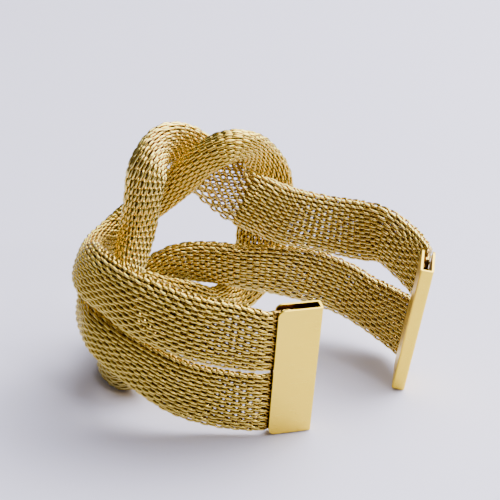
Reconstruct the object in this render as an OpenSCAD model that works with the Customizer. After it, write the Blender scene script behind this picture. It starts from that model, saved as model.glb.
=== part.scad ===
// A cuff bracelet knotted from two loops of tubular wire mesh. Each loop is doubled, both of its
// ends are gripped in a folded end plate, and the two closed ends lock in a square knot at the back.
// The cuff stands on its side, with the way for the wrist running up. Lengths are in mm.

/* [Wrist oval] */
// Long way across the oval that the middle of the band follows
oval_w = 63.8; // [60:0.2:70]
// Short way across the same oval
oval_d = 42.5; // [40:0.1:47]

/* [Mesh loops] */
// Width of one flattened mesh strand where it enters its plate
strand_w = 13.5; // [12.5:0.1:14.5]
// Thickness of a strand where it is rounded in the knot
strand_t = 5; // [4.6:0.05:5.2]
// Wall of the mesh tube
mesh_wall = 0.9; // [0.6:0.05:1]
// Gap between the two strands that share a plate
strand_gap = 0.5; // [0.3:0.05:1.5]

/* [End plates] */
// Length of a plate from its mouth to its fold
plate_w = 8.2; // [7:0.1:10]
// Thickness of a folded plate over both of its leaves
plate_t = 2.5; // [2.3:0.05:3]
// Thickness of the sheet that a plate is folded from
sheet_t = 0.45; // [0.35:0.05:0.55]
// How far a plate reaches past its two strands at each edge
plate_edge = 0.25; // [0:0.05:1]
// How far the mesh reaches into its plate
entry = 3.2; // [2.5:0.1:4.5]
// Room between the mesh and each leaf
seat_clear = 0.15; // [0.1:0.01:0.2]
// How far the mesh runs on straight outside its plate
collar = 2.2; // [1.8:0.1:3]
// Rounding of a plate's corners on the mesh side
corner_r = 1.3; // [0.8:0.1:2]
// Rounding along the fold
fold_r = 0.4; // [0.3:0.05:0.45]

/* [Pose] */
// Where the middle of the near plate stands round the oval, in degrees
near_at = 285.4; // [282:0.2:290]
// Where the middle of the far plate stands round the oval, in degrees
far_at = -5.4; // [-10:0.2:0]
// How far the cuff leans over as it rests, in degrees
lean = 10.7; // [9.5:0.1:12]

/* [Hidden] */

// Heading that the cuff leans towards, in degrees
lean_heading = -40.7;
// How far the far plate stands above the band's middle, and the near plate below it
plate_rise = 0.7;
// How far the far plate stands outward from the oval
far_offset = 0.2;
// Height of a plate along the wrist
plate_h = 2 * strand_w + strand_gap + 2 * plate_edge;
// Thickness of the crimped mesh between the leaves
seat_t = plate_t - 2 * sheet_t - 2 * seat_clear;
// Distance from the mouth to the mesh's last section inside it
mouth_inset = 0.3;
// Thickness of the mesh at the far end of its straight run
collar_t = 0.46 * strand_t;
// The mesh wall is never more than this share of the strand's thickness
wall_share = 0.38;
// Sides of a strand's section, and sections from one table row to the next
sides = 18;
steps = 3;
// Squareness of a section: 2 is an ellipse and larger is boxier
squareness = 2.6;
// Rounds are drawn fine enough to be exact
$fn = 48;

// The tables hold their degrees for a wrist oval whose mean radius is this many strand widths
drawn_radius = 1.969;
// Places of the plates in the tables' degrees
drawn_near = 285.4;
drawn_far = -5.4;
// Middle and half reach of the knot in the tables' degrees
knot_at = 130;
knot_reach = 67;

// Columns of the strand tables. AT is degrees round the wrist; OUT is the distance outward from the
// oval as a share of strand_t; UP is the height from the band's middle as a share of strand_w; WIDE is
// the width as a share of strand_w; THICK is the thickness as a share of strand_t; ROLL is the turn
// of the section about the strand, in degrees.
AT = 0;
OUT = 1;
UP = 2;
WIDE = 3;
THICK = 4;
ROLL = 5;

// Near loop, from the near plate along the upper leg, over the knot and down its closed end
near_upper = [
    [263, 0.04, 0.41, 1.04, 0.66, 0],
    [248, 0.04, 0.41, 1.02, 0.75, 0],
    [228, -0.04, 0.43, 0.99, 0.83, 0],
    [210, -0.17, 0.42, 0.91, 0.95, 0],
    [193, -0.17, 0.33, 0.8, 1.04, 10],
    [176, -0.08, 0.18, 0.69, 1.04, 12],
    [160, 0.17, 0.09, 0.61, 1, 6],
    [146, 0.41, 0.11, 0.58, 0.95, 0],
    [133, 0.54, 0.36, 0.55, 0.95, 0],
    [122, -0.15, 0.94, 0.52, 0.91, 0],
    [114, -0.62, 1.44, 0.49, 0.91, 0],
    [106.3, -0.81, 1.68, 0.48, 0.95, 0],
    [98.8, -0.52, 1.67, 0.46, 0.95, 0],
    [92, 0.33, 1.41, 0.52, 0.95, 0],
    [86, 0.89, 0.88, 0.66, 0.87, 0],
    [85.9, 0.93, 0.09, 0.78, 0.83, 0]
];

// Near loop, from its closed end along the lower leg back to the near plate
near_lower = [
    [86, 0.89, -0.66, 0.68, 0.87, 0],
    [90, 0.58, -1.09, 0.66, 0.95, 0],
    [101, -0.46, -1.17, 0.63, 1, 0],
    [115, -1.04, -1, 0.81, 0.95, 0],
    [128, -0.89, -0.87, 0.75, 0.91, 0],
    [139, -0.31, -0.71, 0.6, 0.91, 0],
    [150, 0.08, -0.63, 0.57, 0.91, 0],
    [162, 0, -0.6, 0.6, 0.95, 0],
    [176, -0.25, -0.54, 0.66, 1, 0],
    [193, -0.33, -0.49, 0.66, 1, 0],
    [210, -0.06, -0.41, 0.68, 0.95, 0],
    [229, -0.08, -0.49, 0.78, 0.87, 0],
    [248, 0.04, -0.61, 0.91, 0.75, 0],
    [263, 0.04, -0.65, 0.96, 0.66, 0]
];

// Far loop, from the far plate along the upper leg, up the inside arch and down it
far_upper = [
    [24, 0.21, 0.63, 0.94, 0.66, 0],
    [38, 0.06, 0.71, 0.89, 0.71, 0],
    [50, 0, 0.61, 0.97, 0.71, 0],
    [64, -0.21, 0.57, 0.94, 0.71, 0],
    [78, -0.5, 0.61, 0.98, 0.71, 0],
    [89, -0.71, 0.76, 0.94, 0.71, 0],
    [99, -0.41, 0.87, 0.89, 0.75, 0],
    [108, 0.54, 1.03, 0.83, 0.83, 0],
    [117.5, 0.77, 1.38, 0.68, 0.95, 0],
    [128.3, 0.19, 1.53, 0.68, 1, 0],
    [138.2, -0.54, 1.38, 0.66, 1.08, 0],
    [142.6, -0.83, 0.94, 0.58, 1.04, 0],
    [145, -0.95, 0.46, 0.58, 1.04, 0],
    [153, -1.2, 0.02, 0.57, 1.04, 0]
];

// Far loop, from the foot of the arch round the low tip and along the lower leg to the far plate
far_lower = [
    [168, -1.45, -0.25, 0.57, 1.04, 0],
    [194, -1.7, -0.43, 0.55, 1.04, 0],
    [217, -1.87, -0.66, 0.52, 1, 0],
    [221, -1.83, -1, 0.5, 1, 0],
    [208, -1.58, -1.31, 0.51, 1, 0],
    [185, -1.37, -1.37, 0.55, 1, 0],
    [158, -0.95, -1.4, 0.58, 1, 0],
    [139, 0.35, -1.3, 0.6, 0.95, 0],
    [128, 0.58, -0.97, 0.63, 0.95, 0],
    [116, 0.5, -0.64, 0.65, 0.91, 0],
    [104, 0.12, -0.51, 0.71, 0.87, 0],
    [91, -0.41, -0.42, 0.75, 0.87, 0],
    [78, -0.41, -0.38, 0.84, 0.87, 0],
    [64, -0.17, -0.4, 0.92, 0.83, 0],
    [50, 0, -0.45, 0.93, 0.71, 0],
    [38, 0.06, -0.5, 0.92, 0.71, 0],
    [24, 0.21, -0.51, 1.01, 0.66, 0]
];

// Plates: place round the oval, turn, lean along the band, offset outward, rise, and the
// direction round the oval from mouth to fold. Angles are in degrees.
near_plate = [near_at, 4.5, 4.7, 0, -plate_rise, 1];
far_plate = [far_at, 0, -1, far_offset, plate_rise, -1];
PLACE = 0;
TURN = 1;
TIP = 2;
OFFSET = 3;
RISE = 4;
WAY = 5;

function unit(v) = v / norm(v);

// Degrees round the real oval for degrees in a table: the knot keeps its length, and the legs take
// up what a larger wrist or a wider opening needs
knot_scale = drawn_radius * strand_w / ((oval_w + oval_d) / 4);
function turned(a) = lookup(a, [
    [drawn_far, far_at],
    [knot_at - knot_reach, knot_at - knot_reach * knot_scale],
    [knot_at + knot_reach, knot_at + knot_reach * knot_scale],
    [drawn_near, near_at]
]);

// Outward direction and point of the oval at an angle
function oval_out(a) = unit([oval_d * cos(a), oval_w * sin(a), 0]);
function oval_point(a, out, up) =
    [oval_w / 2 * cos(a), oval_d / 2 * sin(a), up] + oval_out(a) * out;

// Heading of a plate from mouth to fold, and a point given along, through and up the plate
function heading(p) =
    atan2(p[WAY] * oval_d * cos(p[PLACE]), -p[WAY] * oval_w * sin(p[PLACE])) + p[TURN];
function plate_point(p, v) =
    let (h = heading(p))
    let (x = [cos(h) * cos(p[TIP]), sin(h) * cos(p[TIP]), sin(p[TIP])])
    let (y = [-sin(h), cos(h), 0])
    let (z = cross(x, y))
    oval_point(p[PLACE], p[OFFSET], p[RISE]) + x * (v[0] - plate_w / 2) + y * v[1] + z * v[2];

// A station is a point, an outward direction and [width, thickness, roll]
function by_plate(p, along, level, thick) =
    let (h = heading(p))
    [plate_point(p, [along, 0, level * (strand_w + strand_gap) / 2]),
     [sin(h), -cos(h), 0] * p[WAY],
     [strand_w, thick, 0]];
function on_oval(r) =
    [oval_point(turned(r[AT]), r[OUT] * strand_t, r[UP] * strand_w),
     oval_out(turned(r[AT])),
     [r[WIDE] * strand_w, r[THICK] * strand_t, r[ROLL]]];
function stations(p, rows) = [
    by_plate(p, entry, 1, seat_t),
    by_plate(p, mouth_inset, 1, seat_t),
    by_plate(p, -collar, 1, collar_t),
    for (r = rows) on_oval(r),
    by_plate(p, -collar, -1, collar_t),
    by_plate(p, mouth_inset, -1, seat_t),
    by_plate(p, entry, -1, seat_t)
];

// Smooth curve through the stations
function between(a, b, c, d, u) =
    0.5 * (2 * b + (c - a) * u + (2 * a - 5 * b + 4 * c - d) * u * u + (3 * b - a - 3 * c + d) * u * u * u);
function smoothed(s) =
    let (last = len(s) - 1)
    [for (i = [0:last - 1]) for (j = [0:steps - 1])
        between(s[max(i - 1, 0)], s[i], s[i + 1], s[min(i + 2, last)], j / steps),
     s[last]];

// A section is its centre, its thickness direction, its width direction, width and thickness
function section(q, i) =
    let (t = unit(q[min(i + 1, len(q) - 1)][0] - q[max(i - 1, 0)][0]))
    let (n = unit(q[i][1] - t * (q[i][1] * t)))
    let (b = cross(t, n))
    let (r = q[i][2][2])
    [q[i][0], n * cos(r) + b * sin(r), b * cos(r) - n * sin(r), q[i][2][0], q[i][2][1]];
function squared(c) = sign(c) * pow(abs(c), 2 / squareness);
function ring(s, inset) =
    [for (k = [0:sides - 1])
        let (u = 360 * k / sides)
        s[0] + s[2] * (s[3] / 2 - inset) * squared(cos(u)) + s[1] * (s[4] / 2 - inset) * squared(sin(u))];
function wall(s) = min(mesh_wall, wall_share * s[4]);

// The leaning pose as it rests, with the lowest point on the floor and the middle over the origin
lean_axis = [-sin(lean_heading), cos(lean_heading), 0];
function leaned(v) =
    v * cos(lean) + cross(lean_axis, v) * sin(lean) + lean_axis * (lean_axis * v) * (1 - cos(lean));

near_stations = smoothed(stations(near_plate, concat(near_upper, near_lower)));
far_stations = smoothed(stations(far_plate, concat(far_upper, far_lower)));
near_sections = [for (i = [0:len(near_stations) - 1]) section(near_stations, i)];
far_sections = [for (i = [0:len(far_stations) - 1]) section(far_stations, i)];
function plate_ends(p) =
    [for (along = [0, plate_w]) for (side = [-1, 1]) for (level = [-1, 1])
        plate_point(p, [along, side * plate_t / 2, level * plate_h / 2])];
reach = [for (v = concat(
    [for (s = concat(near_sections, far_sections)) each ring(s, 0)],
    plate_ends(near_plate), plate_ends(far_plate))) leaned(v)];
function low(axis) = min([for (v = reach) v[axis]]);
function high(axis) = max([for (v = reach) v[axis]]);
home = -[(low(0) + high(0)) / 2, (low(1) + high(1)) / 2, low(2)];

module resting() {
    translate(home)
        rotate(a = lean, v = lean_axis)
            children();
}

// Hollow tube through the sections, open at both ends
module mesh_tube(sections) {
    rows = len(sections);
    outer = [for (s = sections) each ring(s, 0)];
    inner = [for (s = sections) each ring(s, wall(s))];
    shift = rows * sides;
    skin = [for (i = [0:rows - 2]) for (k = [0:sides - 1])
        let (a = i * sides + k)
        let (b = i * sides + (k + 1) % sides)
        each [[a, b + sides, a + sides], [a, b, b + sides]]];
    bore = [for (f = skin) [f[0] + shift, f[2] + shift, f[1] + shift]];
    lips = [for (i = [0, rows - 1]) for (k = [0:sides - 1])
        let (a = i * sides + k)
        let (b = i * sides + (k + 1) % sides)
        each i == 0
            ? [[a, b + shift, b], [a, a + shift, b + shift]]
            : [[a, b, b + shift], [a, b + shift, a + shift]]];
    polyhedron(points = concat(outer, inner), faces = concat(skin, bore, lips));
}

// Sheet folded flat in two: open at the mouth, at the top and at the bottom
module end_plate(p) {
    translate(oval_point(p[PLACE], p[OFFSET], p[RISE]))
        rotate([0, 0, heading(p)])
            rotate([0, -p[TIP], 0])
                translate([-plate_w / 2, -plate_t / 2, -plate_h / 2])
                    difference() {
                        intersection() {
                            folded_bar();
                            translate([0, plate_t, 0])
                                rotate([90, 0, 0])
                                    linear_extrude(plate_t)
                                        leaf_outline();
                        }
                        translate([-corner_r, sheet_t, -corner_r])
                            cube([plate_w + corner_r - sheet_t, plate_t - 2 * sheet_t, plate_h + 2 * corner_r]);
                    }
}

// Bar of the plate's full size with its fold edges rounded
module folded_bar() {
    linear_extrude(plate_h) {
        square([plate_w - fold_r, plate_t]);
        translate([plate_w - 2 * fold_r, fold_r])
            square([2 * fold_r, plate_t - 2 * fold_r]);
        for (y = [fold_r, plate_t - fold_r])
            translate([plate_w - fold_r, y])
                circle(fold_r);
    }
}

// Outline of a leaf, with round corners on the mesh side
module leaf_outline() {
    translate([corner_r, 0])
        square([plate_w - corner_r, plate_h]);
    translate([0, corner_r])
        square([2 * corner_r, plate_h - 2 * corner_r]);
    for (z = [corner_r, plate_h - corner_r])
        translate([corner_r, z])
            circle(corner_r);
}

module near_mesh_loop() {
    color([0.78, 0.62, 0.26])
        resting()
            mesh_tube(near_sections);
}

module far_mesh_loop() {
    color([0.74, 0.58, 0.24])
        resting()
            mesh_tube(far_sections);
}

module near_end_plate() {
    color([0.87, 0.79, 0.56])
        resting()
            end_plate(near_plate);
}

module far_end_plate() {
    color([0.87, 0.79, 0.56])
        resting()
            end_plate(far_plate);
}

near_mesh_loop();
far_mesh_loop();
near_end_plate();
far_end_plate();
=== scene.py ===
"""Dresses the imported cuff: real interlinked wire in place of the two mesh loops, satin gold on the
two end plates, a pale floor, soft light and the camera. Lengths are in mm until a mesh is made, and
the lights, the camera and the floor are in metres."""
import math

import bpy
import numpy as np
from mathutils import Matrix, Vector


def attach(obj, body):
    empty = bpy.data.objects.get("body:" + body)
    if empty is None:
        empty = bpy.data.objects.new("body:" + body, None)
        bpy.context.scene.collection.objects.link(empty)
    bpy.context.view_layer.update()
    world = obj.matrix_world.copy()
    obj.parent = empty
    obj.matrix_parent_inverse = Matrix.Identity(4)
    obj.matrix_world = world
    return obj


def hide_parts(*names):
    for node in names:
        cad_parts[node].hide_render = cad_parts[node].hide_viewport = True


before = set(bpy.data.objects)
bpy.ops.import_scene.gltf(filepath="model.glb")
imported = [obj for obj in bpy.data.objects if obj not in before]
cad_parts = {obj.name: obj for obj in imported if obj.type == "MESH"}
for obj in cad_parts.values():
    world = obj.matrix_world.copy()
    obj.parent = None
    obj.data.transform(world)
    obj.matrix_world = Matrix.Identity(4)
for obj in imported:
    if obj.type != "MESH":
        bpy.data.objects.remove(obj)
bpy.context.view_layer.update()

MM = 0.001

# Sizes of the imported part. The strand has thickness SEAT_T in its plate, as far as ENTRY, and
# COLLAR_T at the distance COLLAR outside it. CAD_STEPS and CAD_SIDES are the sections from one row
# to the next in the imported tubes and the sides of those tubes
OVAL_W = 63.8
OVAL_D = 42.5
STRAND_W = 13.5
STRAND_T = 5.0
STRAND_GAP = 0.5
PLATE_W = 8.2
PLATE_T = 2.5
PLATE_H = 28.0
SHEET_T = 0.45
SEAT_T = 1.3
ENTRY = 3.2
MOUTH_INSET = 0.3
COLLAR = 2.2
COLLAR_T = 2.3
SQUARENESS = 2.6
LEAN = 10.7
LEAN_HEADING = -40.7
CAD_STEPS = 3
CAD_SIDES = 18

# The woven wire: rings of coils laid round the tube, each hooked into the next, in an outer course
# and an inner one that fills its holes. RING_STEP is the way from one ring to the next along the
# strand, COILS is the coils of a ring, and COIL_REACH is how far along the strand a coil swings
# to either side
RING_STEP = 1.25
COILS = 16
COIL_REACH = 0.80
WIRE_R = 0.245
# How far the wire waves in and out of the wall's middle, at least and at most
LEAST_WAVE = 0.06
WAVE_DEPTH = 0.56
# How much deeper the inner course lies, and how much painted shade darkens its tone
COURSE_DROP = 0.26
COURSE_SHADE = 0.22
# Share of a coil's pitch that its outer stroke crosses; the inner stroke crosses the rest
OUTER_SHARE = 0.34
COIL_POINTS = 8
WIRE_SIDES = 5
# Sections from one row to the next, and points round each section
FINE_STEPS = 14
GRID = 72
# How much of their wave the wires lose at the strand's two edges, and a power that is higher for
# narrower edges
EDGE_CALM = 0.5
EDGE_POWER = 8
# How unevenly the coils lie, as an angle along the wire and as a way along the strand
PHASE_JITTER = 0.30
ALONG_JITTER = 0.10
# How far outside a plate the wires get painted shade at its mouth, how many times shorter that is
# inside the plate, and the tone below which that painted shade darkens them
CRIMP_SHADE_REACH = 1.3
CRIMP_SHADE_SHORTER = 2
CRIMP_SHADE_TONE = 0.3
# Tone at which the wire's painted shade begins to turn into its painted highlight
SHADE_TO_HIGHLIGHT_TONE = 0.5

# Colours of the finishes, each pair from the deeper to the paler; in the two wire pairs the deeper
# colour is painted shade and the paler one a painted highlight
NEAR_WIRE = ((0.46, 0.30, 0.06), (1.0, 0.77, 0.16))
# The far loop's wire is the near loop's gold painted paler, as painted light on the far strands
FAR_WIRE_PAINTED_PALER = ((0.66, 0.46, 0.13), (1.0, 0.82, 0.24))
TARNISH = (0.80, 0.76, 0.66)
# Painted shade on the wire at a plate's mouth
CRIMP_SHADE = (0.14, 0.07, 0.03)
WHITE = (1, 1, 1)
SHEET = ((0.97, 0.67, 0.04), (0.98, 0.70, 0.06))
# Painted shade inside a plate's fold
SHEET_INSIDE_SHADE = (0.20, 0.07, 0.02)
FLOOR = ((0.74, 0.73, 0.92), (0.77, 0.76, 0.95))
# Colours of the lights and of the light from all round
WARM_LIGHT = (1.0, 0.98, 0.96)
COOL_LIGHT = (0.98, 0.97, 1.0)
SKY = (0.86, 0.86, 0.94)

# Columns of the strand tables: degrees round the oval, distance outward as a share of STRAND_T,
# height as a share of STRAND_W, width as a share of STRAND_W, thickness as a share of STRAND_T,
# and roll in degrees
NEAR_ROWS = [
    (263, 0.04, 0.41, 1.04, 0.66, 0),
    (248, 0.04, 0.41, 1.02, 0.75, 0),
    (228, -0.04, 0.43, 0.99, 0.83, 0),
    (210, -0.17, 0.42, 0.91, 0.95, 0),
    (193, -0.17, 0.33, 0.80, 1.04, 10),
    (176, -0.08, 0.18, 0.69, 1.04, 12),
    (160, 0.17, 0.09, 0.61, 1.00, 6),
    (146, 0.41, 0.11, 0.58, 0.95, 0),
    (133, 0.54, 0.36, 0.55, 0.95, 0),
    (122, -0.15, 0.94, 0.52, 0.91, 0),
    (114, -0.62, 1.44, 0.49, 0.91, 0),
    (106.3, -0.81, 1.68, 0.48, 0.95, 0),
    (98.8, -0.52, 1.67, 0.46, 0.95, 0),
    (92, 0.33, 1.41, 0.52, 0.95, 0),
    (86, 0.89, 0.88, 0.66, 0.87, 0),
    (85.9, 0.93, 0.09, 0.78, 0.83, 0),
    (86, 0.89, -0.66, 0.68, 0.87, 0),
    (90, 0.58, -1.09, 0.66, 0.95, 0),
    (101, -0.46, -1.17, 0.63, 1.00, 0),
    (115, -1.04, -1.00, 0.81, 0.95, 0),
    (128, -0.89, -0.87, 0.75, 0.91, 0),
    (139, -0.31, -0.71, 0.60, 0.91, 0),
    (150, 0.08, -0.63, 0.57, 0.91, 0),
    (162, 0.00, -0.60, 0.60, 0.95, 0),
    (176, -0.25, -0.54, 0.66, 1.00, 0),
    (193, -0.33, -0.49, 0.66, 1.00, 0),
    (210, -0.06, -0.41, 0.68, 0.95, 0),
    (229, -0.08, -0.49, 0.78, 0.87, 0),
    (248, 0.04, -0.61, 0.91, 0.75, 0),
    (263, 0.04, -0.65, 0.96, 0.66, 0),
]
FAR_ROWS = [
    (24, 0.21, 0.63, 0.94, 0.66, 0),
    (38, 0.06, 0.71, 0.89, 0.71, 0),
    (50, 0.00, 0.61, 0.97, 0.71, 0),
    (64, -0.21, 0.57, 0.94, 0.71, 0),
    (78, -0.50, 0.61, 0.98, 0.71, 0),
    (89, -0.71, 0.76, 0.94, 0.71, 0),
    (99, -0.41, 0.87, 0.89, 0.75, 0),
    (108, 0.54, 1.03, 0.83, 0.83, 0),
    (117.5, 0.77, 1.38, 0.68, 0.95, 0),
    (128.3, 0.19, 1.53, 0.68, 1.00, 0),
    (138.2, -0.54, 1.38, 0.66, 1.08, 0),
    (142.6, -0.83, 0.94, 0.58, 1.04, 0),
    (145, -0.95, 0.46, 0.58, 1.04, 0),
    (153, -1.20, 0.02, 0.57, 1.04, 0),
    (168, -1.45, -0.25, 0.57, 1.04, 0),
    (194, -1.70, -0.43, 0.55, 1.04, 0),
    (217, -1.87, -0.66, 0.52, 1.00, 0),
    (221, -1.83, -1.00, 0.50, 1.00, 0),
    (208, -1.58, -1.31, 0.51, 1.00, 0),
    (185, -1.37, -1.37, 0.55, 1.00, 0),
    (158, -0.95, -1.40, 0.58, 1.00, 0),
    (139, 0.35, -1.30, 0.60, 0.95, 0),
    (128, 0.58, -0.97, 0.63, 0.95, 0),
    (116, 0.50, -0.64, 0.65, 0.91, 0),
    (104, 0.12, -0.51, 0.71, 0.87, 0),
    (91, -0.41, -0.42, 0.75, 0.87, 0),
    (78, -0.41, -0.38, 0.84, 0.87, 0),
    (64, -0.17, -0.40, 0.92, 0.83, 0),
    (50, 0.00, -0.45, 0.93, 0.71, 0),
    (38, 0.06, -0.50, 0.92, 0.71, 0),
    (24, 0.21, -0.51, 1.01, 0.66, 0),
]
# Rows at which each loop's knot begins, is cut in two, and ends
NEAR_KNOT = (5, 14, 24)
FAR_KNOT = (5, 15, 25)
# Rows between which a loop's weave is drawn open, with no inner course. The near loop has none
NEAR_OPEN = (0, 0)
FAR_OPEN = (5.5, 7.3)
# Stations in and beside a plate that come before a loop's first row
MOUTH_ROWS = 3

# Plates: degrees round the oval, turn, tip, distance outward, rise, and the way from mouth to fold
NEAR_PLATE = dict(place=285.4, turn=4.5, tip=4.7, offset=0.0, rise=-0.7, way=1)
FAR_PLATE = dict(place=-5.4, turn=0.0, tip=-1.0, offset=0.2, rise=0.7, way=-1)


def unit(v):
    return v / np.linalg.norm(v, axis=-1, keepdims=True)


def oval_out(place):
    """Direction straight out of the oval."""
    a = math.radians(place)
    return unit(np.array([OVAL_D * math.cos(a), OVAL_W * math.sin(a), 0.0]))


def oval_point(place, out, up):
    """Point this far outward of the oval and this far up."""
    a = math.radians(place)
    on_oval = np.array([OVAL_W / 2 * math.cos(a), OVAL_D / 2 * math.sin(a), up])
    return on_oval + oval_out(place) * out


def heading(plate):
    """Angle, seen from above, of the way from a plate's mouth to its fold."""
    a = math.radians(plate["place"])
    along = plate["way"] * OVAL_D * math.cos(a)
    across = -plate["way"] * OVAL_W * math.sin(a)
    return math.atan2(along, across) + math.radians(plate["turn"])


def plate_axes(plate):
    """A plate's own axes: from mouth to fold, through the leaves, and up."""
    h = heading(plate)
    tip = math.radians(plate["tip"])
    x = np.array([math.cos(h) * math.cos(tip), math.sin(h) * math.cos(tip), math.sin(tip)])
    y = np.array([-math.sin(h), math.cos(h), 0.0])
    return x, y, np.cross(x, y)


def plate_point(plate, along, through, up):
    x, y, z = plate_axes(plate)
    centre = oval_point(plate["place"], plate["offset"], plate["rise"])
    return centre + x * (along - PLATE_W / 2) + y * through + z * up


def by_plate(plate, along, level, thick):
    """Station of a strand in or beside its plate: point, direction outward, width, thickness and
    roll. The level is 1 for the upper strand and -1 for the lower one."""
    h = heading(plate)
    out = np.array([math.sin(h), -math.cos(h), 0.0]) * plate["way"]
    point = plate_point(plate, along, 0, level * (STRAND_W + STRAND_GAP) / 2)
    return np.concatenate([point, out, [STRAND_W, thick, 0]])


def from_row(row):
    """The same for a row of a strand table."""
    place, out, up, wide, thick, roll = row
    return np.concatenate([
        oval_point(place, out * STRAND_T, up * STRAND_W),
        oval_out(place),
        [wide * STRAND_W, thick * STRAND_T, math.radians(roll)],
    ])


def stations(plate, rows):
    """A whole loop, from its plate through the rows and back to the plate."""
    mouth = [(ENTRY, SEAT_T), (MOUTH_INSET, SEAT_T), (-COLLAR, COLLAR_T)]
    first = [by_plate(plate, along, 1, thick) for along, thick in mouth]
    last = [by_plate(plate, along, -1, thick) for along, thick in reversed(mouth)]
    return np.array(first + [from_row(r) for r in rows] + last)


def smoothed(s, steps):
    """Catmull-Rom through the stations, with this many steps from one to the next."""
    padded = np.concatenate([s[:1], s, s[-1:]])
    a, b, c, d = padded[:-3, None], padded[1:-2, None], padded[2:-1, None], padded[3:, None]
    u = (np.arange(steps) / steps)[None, :, None]
    curve = 0.5 * (2 * b + (c - a) * u + (2 * a - 5 * b + 4 * c - d) * u ** 2
                   + (3 * b - a - 3 * c + d) * u ** 3)
    return np.concatenate([curve.reshape(-1, s.shape[1]), s[-1:]])


def sections(q):
    """Centre, thickness direction, width direction, width and thickness of each section."""
    centre = q[:, :3]
    before = np.concatenate([centre[:1], centre[:-1]])
    after = np.concatenate([centre[1:], centre[-1:]])
    t = unit(after - before)
    n = q[:, 3:6]
    n = unit(n - t * (n * t).sum(1, keepdims=True))
    b = np.cross(t, n)
    c = np.cos(q[:, 8:9])
    s = np.sin(q[:, 8:9])
    return dict(centre=centre, n=n * c + b * s, b=b * c - n * s, w=q[:, 6:7], t=q[:, 7:8])


def squared(c):
    """Sine or cosine of a rounded rectangle in place of a circle's."""
    return np.sign(c) * np.abs(c) ** (2 / SQUARENESS)


def rings(s, sides):
    """Points round the outer skin of each section."""
    u = 2 * np.pi * np.arange(sides) / sides
    x = squared(np.cos(u))[None, :, None] * (s["w"] / 2)[:, None]
    y = squared(np.sin(u))[None, :, None] * (s["t"] / 2)[:, None]
    return s["centre"][:, None] + s["b"][:, None] * x + s["n"][:, None] * y


def lean_matrix():
    """Tips the upright cuff by LEAN, its top towards LEAN_HEADING."""
    h = math.radians(LEAN_HEADING)
    a = math.radians(LEAN)
    x, y, z = -math.sin(h), math.cos(h), 0.0
    k = np.array([[0, -z, y], [z, 0, -x], [-y, x, 0]])
    return np.eye(3) + math.sin(a) * k + (1 - math.cos(a)) * k @ k


def rest_shift(turn):
    """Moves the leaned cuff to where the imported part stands."""
    loops = [(NEAR_PLATE, NEAR_ROWS), (FAR_PLATE, FAR_ROWS)]
    points = [rings(sections(smoothed(stations(p, r), CAD_STEPS)), CAD_SIDES).reshape(-1, 3)
              for p, r in loops]
    for plate, _ in loops:
        points += [np.array([plate_point(plate, along, side * PLATE_T / 2, level * PLATE_H / 2)])
                   for along in (0, PLATE_W) for side in (-1, 1) for level in (-1, 1)]
    reach = np.concatenate(points) @ turn.T
    low = reach.min(0)
    high = reach.max(0)
    return -np.array([(low[0] + high[0]) / 2, (low[1] + high[1]) / 2, low[2]])


TURN = lean_matrix()
HOME = rest_shift(TURN)


def rested(points):
    """Points of the upright cuff, moved to where they are as it stands."""
    return points @ TURN.T + HOME


def evenly_round(half_w, half_t):
    """Places evenly spaced round a rounded rectangle, across and through, for each section."""
    dense = 4 * GRID
    u = 2 * np.pi * np.arange(dense + 1) / dense
    x = squared(np.cos(u))[None] * half_w
    y = squared(np.sin(u))[None] * half_t
    run = np.concatenate([np.zeros((len(x), 1)),
                          np.cumsum(np.hypot(np.diff(x), np.diff(y)), axis=1)], axis=1)
    even = np.arange(GRID) / GRID
    return (np.array([np.interp(even * r[-1], r, v) for r, v in zip(run, x)]),
            np.array([np.interp(even * r[-1], r, v) for r, v in zip(run, y)]))


def wall_grid(plate, rows):
    """Points evenly spaced round the middle of the mesh wall, section by section, with the
    outward directions, how deep the wire may wave there, and the length along the strand."""
    s = sections(smoothed(stations(plate, rows), FINE_STEPS))
    depth = np.clip(s["t"] / 4 - WIRE_R, LEAST_WAVE, WAVE_DEPTH)
    half_w = s["w"] / 2 - WIRE_R
    half_t = s["t"] / 2 - depth - WIRE_R
    x, y = evenly_round(half_w, half_t)
    nx = np.sign(x) * np.abs(x / half_w) ** (SQUARENESS - 1) / half_w
    ny = np.sign(y) * np.abs(y / half_t) ** (SQUARENESS - 1) / half_t
    b = s["b"][:, None]
    n = s["n"][:, None]
    points = rested(s["centre"][:, None] + b * x[..., None] + n * y[..., None])
    outward = unit(b * nx[..., None] + n * ny[..., None]) @ TURN.T
    steps = np.linalg.norm(np.diff(s["centre"], axis=0), axis=1)
    return points, outward, depth[:, 0], np.concatenate([[0], np.cumsum(steps)])


def uneven(rng, count, amount):
    """Smooth random shift for each ring, with one value for each of its coils."""
    knots = rng.uniform(-amount, amount, (count, COILS))
    knots = np.concatenate([knots, knots[:, :1]], axis=1)
    place = np.arange(COILS * COIL_POINTS) / COIL_POINTS
    first = place.astype(int)
    share = place - first
    share = share * share * (3 - 2 * share)
    return knots[:, first] * (1 - share) + knots[:, first + 1] * share


def on_wall(grid, k, v):
    """Value of a grid at section k and share v of the way round."""
    k0 = np.minimum(k.astype(int), len(grid) - 2)
    down = (k - k0)[..., None]
    g = (v % 1.0) * GRID
    g0 = np.floor(g).astype(int)
    fg = (g - g0)[..., None]
    g0 = g0 % GRID
    g1 = (g0 + 1) % GRID
    return ((grid[k0, g0] * (1 - fg) + grid[k0, g1] * fg) * (1 - down)
            + (grid[k0 + 1, g0] * (1 - fg) + grid[k0 + 1, g1] * fg) * down)


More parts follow.
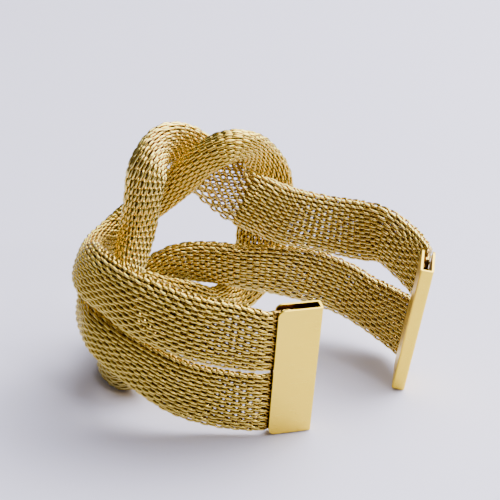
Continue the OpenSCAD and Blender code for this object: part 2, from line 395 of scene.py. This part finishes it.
def wire_tone(high, along, whole, course):
    """Tone of the wire, which sets its painted highlight and painted shade: 1 at the top of the
    weave, lower deep down and on the inner course, and 0 in a plate's mouth.
    """
    outside = np.minimum(along, whole - along) - (ENTRY - MOUTH_INSET)
    from_mouth = np.maximum(outside, -CRIMP_SHADE_SHORTER * outside)
    height = high * 0.5 + 0.5 - course * COURSE_SHADE
    return (CRIMP_SHADE_TONE + (1 - CRIMP_SHADE_TONE) * height) * np.clip(from_mouth / CRIMP_SHADE_REACH, 0, 1)


def woven(plate, rows, seed, course):
    """Centre lines of all the rings of one course of a loop. Gives points, outward directions,
    tones, and each ring's section number."""
    points, outward, depth, length = wall_grid(plate, rows)
    rings_count = round(length[-1] / RING_STEP)
    step = length[-1] / rings_count
    ring = np.arange(rings_count)[:, None]
    turn = 2 * np.pi * np.arange(COILS * COIL_POINTS) / COIL_POINTS
    rng = np.random.default_rng((seed, course))
    phase = turn[None] + np.pi * ((ring + course) % 2) + uneven(rng, rings_count, PHASE_JITTER)
    middle = (ring + 0.5) * step
    along = middle + COIL_REACH * np.cos(phase) + uneven(rng, rings_count, ALONG_JITTER)
    along = np.clip(along, 0, length[-1])
    number = np.arange(len(length))
    k = np.interp(along, length, number)
    v = (turn[None] / (2 * np.pi) + (0.5 - OUTER_SHARE) / 2 * np.cos(phase)) / COILS
    out = unit(on_wall(outward, k, v))
    high = np.sin(phase)
    calm = 1 - EDGE_CALM * np.cos(2 * np.pi * v) ** EDGE_POWER
    lift = calm * (high * np.interp(k, number, depth) - course * COURSE_DROP)
    line = on_wall(points, k, v) + out * lift[..., None]
    line[..., 2] = np.maximum(line[..., 2], WIRE_R)
    tone = wire_tone(high, along, length[-1], course)
    return line, out, tone, np.interp(middle[:, 0], length, number)


def tube_mesh(name, line, out, tone):
    """Closed rings of round wire swept along the lines, as one mesh."""
    tangent = unit(np.roll(line, -1, axis=1) - np.roll(line, 1, axis=1))
    side = unit(out - tangent * (out * tangent).sum(-1, keepdims=True))
    up = np.cross(tangent, side)
    a = 2 * np.pi * np.arange(WIRE_SIDES) / WIRE_SIDES
    rim = line[:, :, None] + WIRE_R * (side[:, :, None] * np.cos(a)[:, None]
                                       + up[:, :, None] * np.sin(a)[:, None])
    count, points = line.shape[:2]
    index = np.arange(count * points * WIRE_SIDES).reshape(count, points, WIRE_SIDES)
    beside = np.roll(index, -1, axis=2)
    corners = [index, beside, np.roll(beside, -1, axis=1), np.roll(index, -1, axis=1)]
    faces = np.stack(corners, axis=-1).reshape(-1, 4).tolist()
    mesh = bpy.data.meshes.new(name)
    mesh.from_pydata((rim * MM).reshape(-1, 3).tolist(), [], faces)
    mesh.polygons.foreach_set("use_smooth", [True] * len(mesh.polygons))
    # The tone carries the painted highlight and painted shade of the wire
    layer = mesh.attributes.new("tone", "FLOAT", "POINT")
    layer.data.foreach_set("value", np.repeat(tone.reshape(-1), WIRE_SIDES))
    mesh.update()
    made = bpy.data.objects.new(name, mesh)
    bpy.context.scene.collection.objects.link(made)
    return made


def new_material(name):
    """A material with its nodes, its links and its shader."""
    material = bpy.data.materials.new(name)
    material.use_nodes = True
    nodes = material.node_tree.nodes
    return material, nodes, material.node_tree.links, nodes["Principled BSDF"]


def noise(nodes, links, scale, detail, stretch=(1, 1, 1), turn=(0, 0, 0)):
    """Noise that is fixed to the piece. It can be stretched along an axis and turned."""
    place = nodes.new("ShaderNodeTexCoord")
    mapping = nodes.new("ShaderNodeMapping")
    mapping.vector_type = "TEXTURE"
    mapping.inputs["Scale"].default_value = stretch
    mapping.inputs["Rotation"].default_value = turn
    texture = nodes.new("ShaderNodeTexNoise")
    texture.inputs["Scale"].default_value = scale
    texture.inputs["Detail"].default_value = detail
    links.new(place.outputs["Object"], mapping.inputs["Vector"])
    links.new(mapping.outputs["Vector"], texture.inputs["Vector"])
    return texture.outputs["Fac"]


def spread(nodes, links, value, low, high):
    """Stretches a noise value, which mostly lies from 0.3 to 0.7, from low to high."""
    node = nodes.new("ShaderNodeMapRange")
    node.inputs["From Min"].default_value = 0.3
    node.inputs["From Max"].default_value = 0.7
    node.inputs["To Min"].default_value = low
    node.inputs["To Max"].default_value = high
    links.new(value, node.inputs["Value"])
    return node.outputs["Result"]


def blend_colours(nodes, links, value, first, second, low=0.0, high=1.0):
    """Runs from the first colour at the low value to the second at the high one."""
    ramp = nodes.new("ShaderNodeValToRGB")
    ramp.color_ramp.elements[0].position = low
    ramp.color_ramp.elements[1].position = high
    ramp.color_ramp.elements[0].color = (*first, 1)
    ramp.color_ramp.elements[1].color = (*second, 1)
    links.new(value, ramp.inputs["Fac"])
    return ramp.outputs["Color"]


def times(nodes, links, first, second):
    """One colour multiplied by another."""
    mix = nodes.new("ShaderNodeMix")
    mix.data_type = "RGBA"
    mix.blend_type = "MULTIPLY"
    mix.inputs["Factor"].default_value = 1.0
    links.new(first, mix.inputs["A"])
    links.new(second, mix.inputs["B"])
    return mix.outputs["Result"]


def bump(nodes, links, shader, value, strength, distance):
    """Fine relief from a noise value, with its height in metres."""
    node = nodes.new("ShaderNodeBump")
    node.inputs["Strength"].default_value = strength
    node.inputs["Distance"].default_value = distance
    links.new(value, node.inputs["Height"])
    links.new(node.outputs["Normal"], shader.inputs["Normal"])


def wire_gold(name, shaded_gold, highlit_gold):
    """Bright drawn wire, with painted shade down in the weave and at the mouth of a plate, and a
    painted highlight on the top of the weave.
    """
    material, nodes, links, shader = new_material(name)
    shader.inputs["Metallic"].default_value = 1.0
    tone = nodes.new("ShaderNodeAttribute")
    tone.attribute_name = "tone"
    height = tone.outputs["Fac"]
    # Painted shade deep in the weave and on the inner course, turning into a painted highlight on
    # the crests of the outer course
    gold = blend_colours(nodes, links, height, shaded_gold, highlit_gold, low=SHADE_TO_HIGHLIGHT_TONE)
    # Painted shade on the wire at a plate's mouth, where the plate overlaps it
    crimp_shading = blend_colours(nodes, links, height, CRIMP_SHADE, WHITE, high=CRIMP_SHADE_TONE)
    clouds = noise(nodes, links, scale=500, detail=3)
    patch = blend_colours(nodes, links, clouds, TARNISH, WHITE)
    tarnished = times(nodes, links, gold, patch)
    links.new(times(nodes, links, tarnished, crimp_shading), shader.inputs["Base Color"])
    wear = noise(nodes, links, scale=1500, detail=2)
    rough = spread(nodes, links, wear, low=0.12, high=0.26)
    links.new(rough, shader.inputs["Roughness"])
    scratches = noise(nodes, links, scale=5000, detail=3)
    bump(nodes, links, shader, scratches, strength=0.12, distance=0.04 * MM)
    return material


def maths(nodes, links, operation, first, second):
    """One operation on two values, each of which is a number or another node's output."""
    node = nodes.new("ShaderNodeMath")
    node.operation = operation
    for socket, value in zip(node.inputs, (first, second)):
        if isinstance(value, float):
            socket.default_value = value
        else:
            links.new(value, socket)
    return node.outputs["Value"]


def inside_fold(nodes, links, centre, turn):
    """Value that is 1 on the inner faces of a plate's fold, where painted shade goes, and 0 on the
    rest of the plate.
    """
    place = nodes.new("ShaderNodeTexCoord")
    local = nodes.new("ShaderNodeMapping")
    local.vector_type = "TEXTURE"
    local.inputs["Location"].default_value = centre
    local.inputs["Rotation"].default_value = turn
    links.new(place.outputs["Object"], local.inputs["Vector"])
    split = nodes.new("ShaderNodeSeparateXYZ")
    links.new(local.outputs["Vector"], split.inputs["Vector"])
    almost_through = 0.9 * SHEET_T
    leaf = (PLATE_T / 2 - almost_through) * MM
    fold = (PLATE_W / 2 - almost_through) * MM
    depth = maths(nodes, links, "ABSOLUTE", split.outputs["Y"], 0.0)
    between_leaves = maths(nodes, links, "LESS_THAN", depth, leaf)
    before_fold = maths(nodes, links, "LESS_THAN", split.outputs["X"], fold)
    return maths(nodes, links, "MULTIPLY", between_leaves, before_fold)


def plate_gold(name, plate):
    """Satin sheet with a fine grain that runs along the plate, with painted shade inside the fold.
    """
    material, nodes, links, shader = new_material(name)
    shader.inputs["Metallic"].default_value = 1.0
    axes = TURN @ np.array(plate_axes(plate)).T
    centre = rested(plate_point(plate, PLATE_W / 2, 0, 0)) * MM
    turn = Matrix(axes.tolist()).to_euler("XYZ")
    grain = noise(nodes, links, scale=4000, detail=4, stretch=(12, 1, 1), turn=turn)
    clouds = noise(nodes, links, scale=120, detail=3)
    mix = nodes.new("ShaderNodeMix")
    mix.data_type = "RGBA"
    # Painted shade on the inner faces of the fold
    links.new(inside_fold(nodes, links, centre, turn), mix.inputs["Factor"])
    links.new(blend_colours(nodes, links, clouds, *SHEET), mix.inputs["A"])
    mix.inputs["B"].default_value = (*SHEET_INSIDE_SHADE, 1)
    links.new(mix.outputs["Result"], shader.inputs["Base Color"])
    rough = spread(nodes, links, grain, low=0.26, high=0.40)
    links.new(rough, shader.inputs["Roughness"])
    bump(nodes, links, shader, grain, strength=0.10, distance=0.03 * MM)
    return material


def pale_floor():
    """Pale, slightly lilac floor with soft clouds and a fine grit."""
    material, nodes, links, shader = new_material("pale_floor")
    clouds = noise(nodes, links, scale=6, detail=3)
    links.new(blend_colours(nodes, links, clouds, *FLOOR), shader.inputs["Base Color"])
    shader.inputs["Roughness"].default_value = 0.42
    grit = noise(nodes, links, scale=900, detail=3)
    bump(nodes, links, shader, grit, strength=0.03, distance=0.1 * MM)
    return material


def section_numbers(row_places):
    """Section numbers of places that are given as rows of a strand table."""
    return [(row + MOUTH_ROWS) * FINE_STEPS for row in row_places]


def add_wire_pieces(loop, plate, rows, knot, opened, seed, material):
    """The mesh of one loop, in four pieces, so that none has too many triangles."""
    courses = [woven(plate, rows, seed, course) for course in (0, 1)]
    line, out, tone, k = (np.concatenate(both) for both in zip(*courses))
    inner = np.arange(len(k)) >= len(k) // 2
    bare_from, bare_to = section_numbers(opened)
    kept = ~(inner & (k > bare_from) & (k < bare_to))
    ends = [0, *section_numbers(knot), np.inf]
    parts = ("upper", "knot_upper", "knot_lower", "lower")
    for part, first, last in zip(parts, ends[:-1], ends[1:]):
        take = kept & (k >= first) & (k < last)
        piece = tube_mesh(f"{loop}_mesh_{part}", line[take], out[take], tone[take])
        piece.data.materials.append(material)
        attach(piece, "root")
        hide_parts(f"{loop}_mesh_loop")


def add_floor():
    """A wide square floor that isn't part of the object."""
    half = 3.0
    mesh = bpy.data.meshes.new("floor")
    mesh.from_pydata([(-half, -half, 0), (half, -half, 0), (half, half, 0), (-half, half, 0)],
                     [], [(0, 1, 2, 3)])
    floor = bpy.data.objects.new("floor", mesh)
    bpy.context.scene.collection.objects.link(floor)
    floor.data.materials.append(pale_floor())


def add_light(name, place, size, power, colour):
    """A square light that points at the floor under the middle of the part."""
    data = bpy.data.lights.new(name, "AREA")
    data.shape = "SQUARE"
    data.size = size
    data.energy = power
    data.color = colour
    light = bpy.data.objects.new(name, data)
    bpy.context.scene.collection.objects.link(light)
    light.location = place
    light.rotation_mode = "QUATERNION"
    light.rotation_quaternion = (-Vector(place)).to_track_quat("-Z", "Y")


def add_world():
    """Weak, even light from all round."""
    world = bpy.data.worlds.new("studio")
    bpy.context.scene.world = world
    world.use_nodes = True
    background = world.node_tree.nodes["Background"]
    background.inputs["Color"].default_value = (*SKY, 1)
    background.inputs["Strength"].default_value = 0.16


def add_camera():
    """The photograph's view: straight along +Y and about 25 degrees down."""
    photo_px = 500
    focal_px = 1418
    down = 25.22
    data = bpy.data.cameras.new("camera")
    data.lens = focal_px / photo_px * data.sensor_width
    camera = bpy.data.objects.new("camera", data)
    bpy.context.scene.collection.objects.link(camera)
    camera.location = (-0.00051, -0.24568, 0.14324)
    camera.rotation_euler = (math.radians(90 - down), 0, 0)
    bpy.context.scene.camera = camera


near_gold = wire_gold("near_gold_wire", *NEAR_WIRE)
# The far loop's wire is painted paler than the near loop's, as painted light on the far strands
far_gold_painted_paler = wire_gold("far_gold_wire_painted_paler", *FAR_WIRE_PAINTED_PALER)
add_wire_pieces("near", NEAR_PLATE, NEAR_ROWS, NEAR_KNOT, NEAR_OPEN, 1, near_gold)
add_wire_pieces("far", FAR_PLATE, FAR_ROWS, FAR_KNOT, FAR_OPEN, 2, far_gold_painted_paler)
for plate_name, plate in (("near", NEAR_PLATE), ("far", FAR_PLATE)):
    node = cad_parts[f"{plate_name}_end_plate"]
    satin = plate_gold(f"{plate_name}_plate_gold", plate)
    for slot in node.material_slots:
        slot.material = satin
add_floor()
add_light("ceiling", place=(0.50, 0.35, 0.80), size=1.40, power=40.0, colour=COOL_LIGHT)
add_light("key", place=(0.50, 0.30, 0.60), size=0.50, power=7.0, colour=WARM_LIGHT)
add_light("glint", place=(0.45, -0.50, 0.60), size=0.06, power=1.6, colour=WARM_LIGHT)
add_world()
add_camera()
